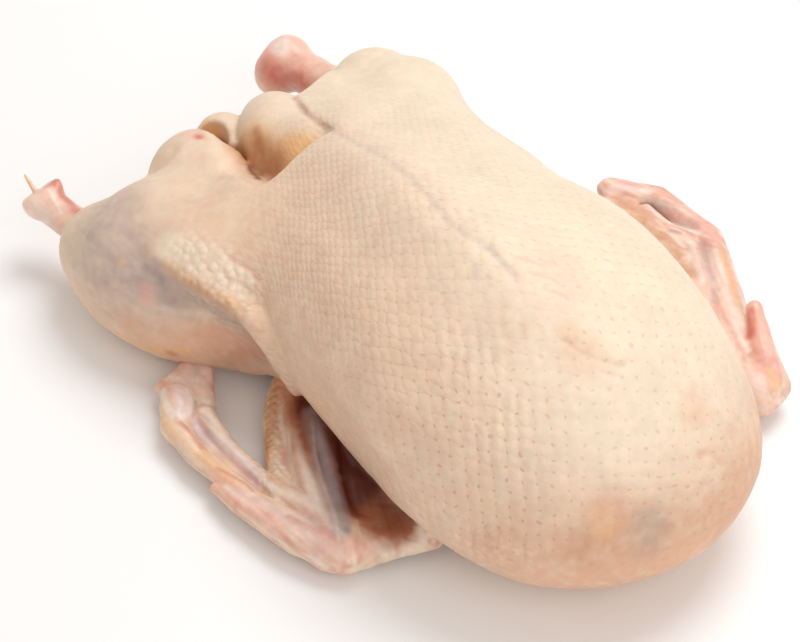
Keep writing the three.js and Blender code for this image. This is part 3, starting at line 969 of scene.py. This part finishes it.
RIGHT_WING_PAINT = [
    ("pink", all_over(0.45)),
    ("rose", F(WING_GUIDES, (40, 160, 20), (300, 200, 80), 0.35)),
    ("sinew_and_highlight", F(WING_GUIDES, (40, 160, 20), (300, 200, 80), 0.4, way=-1)),
    ("pink", S([(-55, 186, 25), (-26, 207, 24), (-3, 206, 26), (15, 205, 26), (39, 195, 25), (66, 179, 25)], 5, 0.6)),
    ("fat_and_shade", S([(-46, 179, 22), (-25, 178, 25), (-8, 176, 25), (11, 174, 25), (34, 169, 25)], 10, 0.4)),
    ("rust_and_shade", S([(-46, 179, 22), (-25, 178, 25), (-8, 176, 25), (11, 174, 25), (34, 169, 25)], 8, 0.35)),
    ("lilac", S([(-57, 176, 23), (-51, 184, 24), (-45, 191, 25)], 3.4, 0.8)),
    ("sinew_and_highlight", S([(-43, 191, 24), (-39, 197, 25)], 4, 0.6)),
    ("mauve", S([(-35, 193, 20), (-22, 196, 22), (-6, 197, 23), (3, 198, 25)], 7, 0.4)),
    ("pink", S([(-18, 198, 23), (-6, 199, 24)], 3, 0.4)),
    ("sinew_and_highlight", S([(-38, 191, 20), (-22, 187, 24), (-10, 188, 25), (1, 194, 24), (10, 199, 25)], 2.4, 0.6)),
    ("mauve", S([(-3, 184, 25), (3, 187, 26)], 2.5, 0.5)),
    ("pink", P((14, 203, 26), (12, 8, 10), 0.6)),
    ("mauve", S([(16, 194, 24), (29, 186, 24), (45, 177, 25), (60, 167, 26)], 5.5, 0.35)),
    ("sinew_and_highlight", S([(13, 187, 26), (27, 179, 27), (43, 172, 26)], 3, 0.5)),
    ("sinew_and_highlight", S([(27, 195, 26), (46, 186, 25), (69, 173, 25), (87, 161, 26)], 4, 0.35)),
    ("fat_and_shade", S([(29, 199, 26), (55, 184, 25), (71, 175, 26)], 4, 0.5)),
    ("pink", S([(82, 177, 35), (96, 170, 33), (109, 163, 31), (125, 154, 30)], 14, 0.75)),
    ("rose", S([(84, 172, 33), (91, 168, 31), (96, 163, 29)], 6, 0.95)),
    ("rose", S([(105, 154, 27), (113, 155, 29), (118, 157, 30)], 8, 0.35)),
    ("lilac", S([(125, 139, 30), (131, 138, 28)], 8, 0.5)),
    ("fat_and_shade", S([(126, 153, 30), (134, 148, 28)], 6, 0.6)),
    ("sinew_and_highlight", S([(91, 158, 27), (99, 156, 27), (104, 155, 27)], 3, 0.5)),
]
LEFT_HOCK_PAINT = [
    ("pink", all_over(0.45)),
    ("sinew_and_highlight", P((-220, -140, 46), (18, 12, 14), 0.45)),
    ("rose", S([(-230, -121, 56), (-216, -122, 53), (-202, -122, 52)], 6, 0.7)),
    ("sinew_and_highlight", S([(-226, -129, 56), (-210, -130, 50)], 1.6, 0.5)),
    ("rose", P((-233, -124, 57), (9, 9, 7), 0.7)),
    ("rose", P((-238, -138, 50), (7, 7, 7), 0.3)),
    ("fat_and_shade", P((-243, -135, 55), (9, 5, 8), 0.7)),
]
RIGHT_HOCK_PAINT = [
    ("pink", all_over(0.6)),
    ("rose", P((-247, 44, 60), (15, 14, 16), 0.4)),
    ("rose", S([(-240, 44, 58), (-230, 46, 58), (-220, 51, 62)], 15, 0.8, soft=1.0)),
    # pale cartilage on the upper knob, with a painted highlight on its top
    ("sinew_and_highlight", P((-246, 54, 72), (13, 11, 9), 0.6)),
    ("lilac", P((-248, 52, 71), (8, 7, 6), 0.4)),
    ("rose", P((-232, 58, 71), (10, 8, 8), 0.3)),
]
MASKS = {
    "pebbled": [
        P((-75, -100, 78), (60, 30, 34), 1.0, soft=0.6),
        P((-28, -93, 55), (26, 20, 34), 0.8),
        P((164, -74, 62), (34, 26, 28), 1.0, soft=0.6),
        P((-88, -127, 30), (46, 22, 22), 0.4),
        S([(-40, -81, 20), (-26, -99, 18), (4, -119, 16), (20, -129, 14)], 14, 0.9),
    ],
    "follicles": [
        P((60, -70, 90), (170, 82, 100), 1.0, soft=0.5),
        P((10, 20, 110), (190, 130, 90), 0.9, soft=0.4),
        P((190, 20, 80), (60, 90, 80), 0.8),
        P((50, 80, 80), (190, 90, 90), 0.6, soft=0.5),
    ],
    "pits": [
        P((130, -50, 100), (90, 60, 70), 1.0, soft=0.5),
        P((160, 20, 110), (90, 80, 70), 0.6, soft=0.5),
        P((20, -60, 110), (120, 60, 70), 0.35),
    ],
}


def painted(points, carving, marks, colours):
    """Every point's colour, from cream and the marks over it in turn."""
    tint = np.tile(np.array(colours.cream, float), (len(points), 1))
    cloud = 0.25 * noise_b(points, 11) + 0.25 * noise_c(points, 4)
    for name, mark in marks:
        amount = np.clip(mark(points, carving) * (1 + cloud), 0, 1)[:, None]
        tint += (np.array(getattr(colours, name), float) - tint) * amount
    return tint


def mask_values(points, carving, names):
    """The masks at every point, the strongest of their marks."""
    return {
        name: np.clip(np.max([mark(points, carving) for mark in MASKS[name]], axis=0), 0, 1)
        for name in names
    }


# ---- Meshes in Blender ----------------------------------------------------------------------


def new_object(name, vertices, faces, material):
    mesh = bpy.data.meshes.new(name)
    mesh.from_pydata(vertices, [], faces)
    mesh.materials.append(material)
    mesh.shade_smooth()
    body = bpy.data.objects.new(name, mesh)
    bpy.context.collection.objects.link(body)
    return body


def quad_mesh(name, vertices, quads):
    mesh = bpy.data.meshes.new(name)
    mesh.vertices.add(len(vertices))
    mesh.vertices.foreach_set("co", vertices.astype(np.float32).ravel())
    mesh.loops.add(quads.size)
    mesh.loops.foreach_set("vertex_index", quads.astype(np.int32).ravel())
    mesh.polygons.add(len(quads))
    mesh.polygons.foreach_set("loop_start", np.arange(0, quads.size, 4, dtype=np.int32))
    mesh.update(calc_edges=True)
    return mesh


def keep(mesh, name, values):
    """Keeps a number or a colour for each vertex."""
    kind, field = ("FLOAT", "value") if values.ndim == 1 else ("FLOAT_COLOR", "color")
    if values.ndim == 2:
        values = np.column_stack([values, np.ones(len(values))])
    mesh.attributes.new(name, kind, "POINT").data.foreach_set(field, values.astype(np.float32).ravel())


# The frame's origin, as the forms' own origin sees it.
FRAME_ORIGIN = np.array([-27.0, 27.4, 0.0])


def flesh(context, name, carving, cell, relief, paint, masks, material):
    """Carves a piece, lays its relief and its paint on it, and puts it in the frame."""
    vertices, quads, outward = carving.surface(cell / MM)
    lift = context.scene.goose_shape.relief * relief(vertices, carving)
    lift *= smooth_step(vertices[:, 2], 0.5, 6)
    mesh = quad_mesh(name, (vertices + outward * lift[:, None] - FRAME_ORIGIN) * MM, quads)
    keep(mesh, "tint", painted(vertices, carving, paint, context.scene.goose_colours))
    for label, values in mask_values(vertices, carving, masks).items():
        keep(mesh, label, values)
    columns, rows, _ = follicle_rows(vertices)
    keep(mesh, "rows", np.stack([columns, rows, 0 * rows], 1))
    mesh.materials.append(material)
    mesh.shade_smooth()
    mesh.update()
    piece = bpy.data.objects.new(name, mesh)
    context.collection.objects.link(piece)
    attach(piece, BODY)
    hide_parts(NODE)


# ---- Node groups ----------------------------------------------------------------------------


class Graph:
    """Adds nodes to a tree and links what it is given."""

    def __init__(self, tree):
        self.tree = tree

    def node(self, kind, inputs=None, **settings):
        node = self.tree.nodes.new(kind)
        number = len(self.tree.nodes)
        node.location = (200 * (number % 12), -260 * (number // 12))
        for name, value in settings.items():
            setattr(node, name, value)
        for socket, value in (inputs or {}).items():
            self.feed(node.inputs[socket], value)
        return node

    def feed(self, socket, value):
        if isinstance(value, bpy.types.NodeSocket):
            self.tree.links.new(value, socket)
        else:
            socket.default_value = value

    def math(self, operation, *values, clamp=False):
        node = self.node("ShaderNodeMath", dict(enumerate(values)), operation=operation)
        node.use_clamp = clamp
        return node.outputs[0]

    def vector(self, operation, a, b):
        node = self.node("ShaderNodeVectorMath", {0: a}, operation=operation)
        if operation == "SCALE":
            self.feed(node.inputs["Scale"], b)
        else:
            self.feed(node.inputs[1], b)
        return node.outputs[0]

    def blend(self, amount, under, over, mode="MIX"):
        node = self.node("ShaderNodeMix", {0: amount, 6: under, 7: over}, data_type="RGBA")
        node.blend_type = mode
        return node.outputs[2]

    def between(self, value, start, end):
        """0 at start and below, 1 at end and beyond, smooth in between."""
        inputs = {"Value": value, "From Min": start, "From Max": end}
        return self.node("ShaderNodeMapRange", inputs, interpolation_type="SMOOTHSTEP").outputs[0]

    def noise(self, place, scale, detail=2.0, roughness=0.5):
        inputs = {"Vector": place, "Scale": scale, "Detail": detail, "Roughness": roughness}
        return self.node("ShaderNodeTexNoise", inputs)

    def mask(self, name):
        return self.node("ShaderNodeAttribute", attribute_name=name).outputs["Fac"]


def new_group(name, inputs, outputs):
    """An empty node group with named sockets: (name, kind, default)."""
    tree = bpy.data.node_groups.new(name, "ShaderNodeTree")
    for direction, sockets in (("INPUT", inputs), ("OUTPUT", outputs)):
        for label, kind, *default in sockets:
            socket = tree.interface.new_socket(label, in_out=direction, socket_type="NodeSocket" + kind)
            if default:
                socket.default_value = default[0]
    graph = Graph(tree)
    return graph, graph.node("NodeGroupInput").outputs, graph.node("NodeGroupOutput").inputs


def mottle_group():
    """Cloudy change of tone, as fat and blood under the skin make it."""
    graph, given, out = new_group(
        "Mottle",
        [("Size", "Float", 0.02), ("Strength", "Float", 0.5)],
        [("Tone", "Float")],
    )
    place = graph.node("ShaderNodeTexCoord").outputs["Object"]
    scale = graph.math("DIVIDE", 1.0, given["Size"])
    cloud = graph.noise(place, scale, 4.0, 0.6).outputs["Fac"]
    centred = graph.math("SUBTRACT", graph.between(cloud, 0.3, 0.7), 0.5)
    graph.feed(out["Tone"], graph.math("MULTIPLY", centred, given["Strength"]))
    return graph.tree


def follicle_group():
    """Rows of feather pits, each a short dash, and skin that swells between them."""
    graph, given, out = new_group(
        "Follicles",
        [
            ("Rows", "Vector", (0, 0, 0)),
            ("Upright", "Float", 0.0),
            ("Pit Size", "Float", 0.2),
            ("Waver", "Float", 0.36),
        ],
        [("Pit", "Float"), ("Height", "Float")],
    )
    place = graph.node("ShaderNodeTexCoord").outputs["Object"]
    drift = graph.noise(place, 110.0, 2.0).outputs["Color"]
    drift = graph.vector("SCALE", graph.vector("SUBTRACT", drift, (0.5, 0.5, 0.5)), given["Waver"])
    rows = graph.vector("ADD", given["Rows"], graph.vector("SCALE", drift, 3.0))
    parts = graph.node("ShaderNodeSeparateXYZ", {0: rows}).outputs
    swell = []
    for part in (parts["X"], parts["Y"]):
        wave = graph.math("COSINE", graph.math("MULTIPLY", part, 2 * math.pi))
        swell.append(graph.math("MULTIPLY_ADD", wave, -0.5, 0.5))
    lying = graph.math("MULTIPLY_ADD", given["Upright"], 0.8, 0.35)
    standing = graph.math("MULTIPLY_ADD", given["Upright"], -0.5, 1.3)
    off = graph.math("ADD", graph.math("MULTIPLY", swell[0], lying), graph.math("MULTIPLY", swell[1], standing))
    patchy = graph.noise(place, 75.0, 2.0).outputs["Fac"]
    size = graph.math("MULTIPLY", given["Pit Size"], graph.math("MULTIPLY_ADD", patchy, 2.4, -0.2))
    dark = graph.math("SUBTRACT", 1.0, graph.between(off, 0.0, size))
    graph.feed(out["Pit"], dark)
    weave = graph.math("POWER", graph.math("MULTIPLY", *swell), 0.5)
    graph.feed(out["Height"], graph.math("SUBTRACT", weave, graph.math("MULTIPLY", dark, 0.26)))
    return graph.tree


def pebble_group():
    """Small raised scales with grooves between them."""
    graph, given, out = new_group(
        "Pebbles",
        [("Size", "Float", 0.0055), ("Unevenness", "Float", 0.6)],
        [("Groove", "Float"), ("Height", "Float")],
    )
    place = graph.node("ShaderNodeTexCoord").outputs["Object"]
    inputs = {
        "Vector": place,
        "Scale": graph.math("DIVIDE", 1.0, given["Size"]),
        "Randomness": given["Unevenness"],
    }
    middle = graph.node("ShaderNodeTexVoronoi", inputs, feature="F1").outputs["Distance"]
    graph.feed(out["Groove"], graph.between(middle, 0.4, 0.75))
    graph.feed(out["Height"], graph.between(middle, 0.7, 0.1))
    return graph.tree


def grain_group():
    """The finest wrinkles and pores."""
    graph, given, out = new_group(
        "Fine Grain", [("Size", "Float", 0.0012)], [("Height", "Float"), ("Speckle", "Float")]
    )
    place = graph.node("ShaderNodeTexCoord").outputs["Object"]
    scale = graph.math("DIVIDE", 1.0, given["Size"])
    fine = graph.noise(place, scale, 3.0, 0.6).outputs["Fac"]
    graph.feed(out["Height"], fine)
    graph.feed(out["Speckle"], graph.between(fine, 0.55, 0.75))
    return graph.tree


GROUPS = {}


def group(name):
    """Each node group is made once and shared."""
    makers = {
        "Mottle": mottle_group,
        "Follicles": follicle_group,
        "Pebbles": pebble_group,
        "Fine Grain": grain_group,
    }
    if name not in GROUPS:
        GROUPS[name] = makers[name]()
    return GROUPS[name]


def use(graph, name, **inputs):
    node = graph.node("ShaderNodeGroup", node_tree=group(name))
    for label, value in inputs.items():
        graph.feed(node.inputs[label.replace("_", " ")], value)
    return node.outputs


# ---- Materials ------------------------------------------------------------------------------


def new_material(name):
    material = bpy.data.materials.new(name)
    material.use_nodes = True
    material.node_tree.nodes.clear()
    graph = Graph(material.node_tree)
    shader = graph.node("ShaderNodeBsdfPrincipled")
    output = graph.node("ShaderNodeOutputMaterial", {"Surface": shader.outputs[0]})
    output.location = (2600, 0)
    return material, graph, shader.inputs


def bumped(graph, *layers):
    """Bump nodes in a row: (height, distance in metres, strength)."""
    normal = None
    for height, distance, strength in layers:
        inputs = {"Height": height, "Distance": distance, "Strength": strength}
        if normal is not None:
            inputs["Normal"] = normal
        normal = graph.node("ShaderNodeBump", inputs).outputs[0]
    return normal


def toned(graph, colour, strength):
    """The painted colour, made lighter and darker in clouds."""
    cloud = use(graph, "Mottle", Size=0.03, Strength=strength)["Tone"]
    fine_cloud = use(graph, "Mottle", Size=0.006, Strength=strength)["Tone"]
    tone = graph.math("ADD", 1.0, graph.math("ADD", cloud, fine_cloud))
    grey = graph.node("ShaderNodeCombineXYZ", {0: tone, 1: tone, 2: tone}).outputs[0]
    return graph.blend(1.0, colour, grey, "MULTIPLY")


def moist(shader, scatter, shine):
    """Light goes a little way into flesh, and its wet face shines."""
    shader["Subsurface Weight"].default_value = scatter
    shader["Subsurface Radius"].default_value = (1.0, 0.4, 0.25)
    shader["Subsurface Scale"].default_value = 0.005
    shader["Specular IOR Level"].default_value = shine


def skin_material():
    material, graph, shader = new_material("goose_skin")
    colour = graph.node("ShaderNodeAttribute", attribute_name="tint").outputs["Color"]
    colour = toned(graph, colour, 0.07)
    rows = graph.node("ShaderNodeAttribute", attribute_name="rows").outputs["Color"]
    pitted = graph.mask("pits")
    follicles = use(graph, "Follicles", Rows=rows, Upright=pitted)
    pebbles = use(graph, "Pebbles")
    grain = use(graph, "Fine Grain")
    follicled = graph.mask("follicles")
    pebbled = graph.mask("pebbled")
    depth = graph.math("MULTIPLY_ADD", pitted, 0.22, graph.math("MULTIPLY", follicled, 0.22))
    colour = graph.blend(graph.math("MULTIPLY", follicles["Pit"], depth), colour, (0.55, 0.19, 0.085, 1))
    # painted shade: the grooves between the pebbles are darkened
    groove_shade = graph.math("MULTIPLY", graph.math("MULTIPLY", pebbles["Groove"], pebbled), 0.16)
    colour = graph.blend(groove_shade, colour, (0.55, 0.28, 0.15, 1))
    graph.feed(shader["Base Color"], colour)
    graph.feed(shader["Roughness"], graph.math("MULTIPLY_ADD", grain["Speckle"], 0.08, 0.5))
    row_height = graph.math("MULTIPLY", follicles["Height"], follicled)
    pebble_height = graph.math("MULTIPLY", pebbles["Height"], pebbled)
    normal = bumped(
        graph,
        (row_height, 0.0005, 0.6),
        (pebble_height, 0.0013, 0.75),
        (grain["Height"], 0.0002, 0.5),
    )
    graph.feed(shader["Normal"], normal)
    moist(shader, 0.25, 0.35)
    return material


def wing_material():
    material, graph, shader = new_material("goose_wing_flesh")
    colour = graph.node("ShaderNodeAttribute", attribute_name="tint").outputs["Color"]
    colour = toned(graph, colour, 0.12)
    pebbles = use(graph, "Pebbles", Size=0.004)
    grain = use(graph, "Fine Grain")
    pebbled = graph.mask("pebbled")
    # painted shade: the grooves between the pebbles are darkened
    groove_shade = graph.math("MULTIPLY", graph.math("MULTIPLY", pebbles["Groove"], pebbled), 0.25)
    colour = graph.blend(groove_shade, colour, (0.50, 0.24, 0.10, 1))
    graph.feed(shader["Base Color"], colour)
    graph.feed(shader["Roughness"], graph.math("MULTIPLY_ADD", grain["Speckle"], 0.1, 0.32))
    pebble_height = graph.math("MULTIPLY", pebbles["Height"], pebbled)
    graph.feed(shader["Normal"], bumped(graph, (pebble_height, 0.001, 0.8), (grain["Height"], 0.0003, 0.5)))
    moist(shader, 0.3, 0.5)
    return material


def hock_material():
    material, graph, shader = new_material("goose_hock")
    colour = graph.node("ShaderNodeAttribute", attribute_name="tint").outputs["Color"]
    graph.feed(shader["Base Color"], toned(graph, colour, 0.12))
    grain = use(graph, "Fine Grain", Size=0.0009)
    graph.feed(shader["Roughness"], graph.math("MULTIPLY_ADD", grain["Speckle"], 0.1, 0.3))
    graph.feed(shader["Normal"], bumped(graph, (grain["Height"], 0.0002, 0.5)))
    moist(shader, 0.35, 0.5)
    return material


# ---- Operators ------------------------------------------------------------------------------


class GOOSE_OT_body(bpy.types.Operator):
    """Carves the body with its thighs, and gives it its skin"""

    bl_idname = "goose.body"
    bl_label = "Body"

    def execute(self, context):
        cell = context.scene.goose_shape.body_cell
        masks = ["pebbled", "follicles", "pits"]
        flesh(context, "goose_body", BODY_CARVING, cell, body_relief, BODY_PAINT, masks, skin_material())
        return {"FINISHED"}


class GOOSE_OT_wings(bpy.types.Operator):
    """Carves both wings, and gives them their skin"""

    bl_idname = "goose.wings"
    bl_label = "Wings"

    def execute(self, context):
        cell = context.scene.goose_shape.wing_cell
        material = wing_material()
        wings = (
            ("goose_left_wing", LEFT_WING_CARVING, LEFT_WING_PAINT),
            ("goose_right_wing", RIGHT_WING_CARVING, RIGHT_WING_PAINT),
        )
        for name, carving, paint in wings:
            flesh(context, name, carving, cell, wing_relief, paint, ["pebbled"], material)
        return {"FINISHED"}


class GOOSE_OT_hocks(bpy.types.Operator):
    """Carves the hocks, where the feet were cut off"""

    bl_idname = "goose.hocks"
    bl_label = "Hocks"

    def execute(self, context):
        cell = context.scene.goose_shape.hock_cell
        material = hock_material()
        hocks = (
            ("goose_left_hock", LEFT_HOCK_CARVING, LEFT_HOCK_PAINT),
            ("goose_right_hock", RIGHT_HOCK_CARVING, RIGHT_HOCK_PAINT),
        )
        for name, carving, paint in hocks:
            flesh(context, name, carving, cell, hock_relief, paint, [], material)
        return {"FINISHED"}


class GOOSE_OT_stage(bpy.types.Operator):
    """Adds the pale floor, the lamp, the white room and the camera"""

    bl_idname = "goose.stage"
    bl_label = "Stage"

    def execute(self, context):
        stage = context.scene.goose_stage
        self.floor()
        self.room(context.scene, stage)
        self.lamp("key", stage.key, 1.0, (-0.1, 0.35, 0.93))
        self.lamp("fill", stage.fill, 1.4, (0.8, -0.1, 0.6))
        self.camera(context.scene, stage)
        return {"FINISHED"}

    def floor(self):
        half = 6.0
        corners = [(-half, -half, 0), (half, -half, 0), (half, half, 0), (-half, half, 0)]
        material, graph, shader = new_material("floor_white")
        shader["Base Color"].default_value = (0.97, 0.98, 0.99, 1)
        shader["Roughness"].default_value = 0.8
        shader["Specular IOR Level"].default_value = 0.1
        new_object("floor", corners, [(0, 1, 2, 3)], material)

    def room(self, scene, stage):
        scene.world = bpy.data.worlds.new("white_room")
        scene.world.use_nodes = True
        background = scene.world.node_tree.nodes["Background"]
        background.inputs["Color"].default_value = (1.0, 0.925, 0.86, 1)
        background.inputs["Strength"].default_value = stage.sky
        scene.view_settings.view_transform = "Standard"

    def lamp(self, name, power, width, away):
        light = bpy.data.lights.new(name, "AREA")
        light.shape = "DISK"
        light.size = width
        light.energy = power
        light.color = (0.97, 0.985, 1.0)
        lamp = bpy.data.objects.new(name, light)
        away = Vector(away).normalized()
        lamp.location = away * 1.6
        lamp.rotation_euler = away.to_track_quat("Z", "Y").to_euler()
        bpy.context.collection.objects.link(lamp)

    def camera(self, scene, stage):
        lens = bpy.data.cameras.new("camera")
        lens.lens = stage.lens / MM
        lens.sensor_width = 36
        camera = bpy.data.objects.new("camera", lens)
        back = Vector(
            (
                math.sin(stage.azimuth) * math.cos(stage.elevation),
                -math.cos(stage.azimuth) * math.cos(stage.elevation),
                math.sin(stage.elevation),
            )
        )
        camera.location = Vector((0.027, -0.0514, 0.07)) + back * stage.distance
        camera.rotation_euler = back.to_track_quat("Z", "Y").to_euler()
        bpy.context.collection.objects.link(camera)
        scene.camera = camera


class GOOSE_PT_panel(bpy.types.Panel):
    """Lists the goose's pieces and settings"""

    bl_idname = "GOOSE_PT_panel"
    bl_label = "Raw Goose"
    bl_space_type = "VIEW_3D"
    bl_region_type = "UI"
    bl_category = "Goose"

    def draw(self, context):
        layout = self.layout
        for operator in OPERATORS:
            layout.operator(operator.bl_idname)
        for settings in (context.scene.goose_shape, context.scene.goose_colours, context.scene.goose_stage):
            box = layout.box()
            for name in settings.bl_rna.properties.keys():
                if name not in ("rna_type", "name"):
                    box.prop(settings, name)


OPERATORS = (GOOSE_OT_body, GOOSE_OT_wings, GOOSE_OT_hocks, GOOSE_OT_stage)
SETTINGS = {"goose_shape": GooseShape, "goose_colours": GooseColours, "goose_stage": GooseStage}


def register():
    for settings in SETTINGS.values():
        bpy.utils.register_class(settings)
    for name, settings in SETTINGS.items():
        setattr(bpy.types.Scene, name, PointerProperty(type=settings))
    for operator in OPERATORS:
        bpy.utils.register_class(operator)
    bpy.utils.register_class(GOOSE_PT_panel)


def unregister():
    bpy.utils.unregister_class(GOOSE_PT_panel)
    for operator in reversed(OPERATORS):
        bpy.utils.unregister_class(operator)
    for name, settings in reversed(SETTINGS.items()):
        delattr(bpy.types.Scene, name)
        bpy.utils.unregister_class(settings)


def main():
    register()
    bpy.ops.goose.body()
    bpy.ops.goose.wings()
    bpy.ops.goose.hocks()
    bpy.ops.goose.stage()
    bpy.context.view_layer.update()


if __name__ == "__main__":
    main()
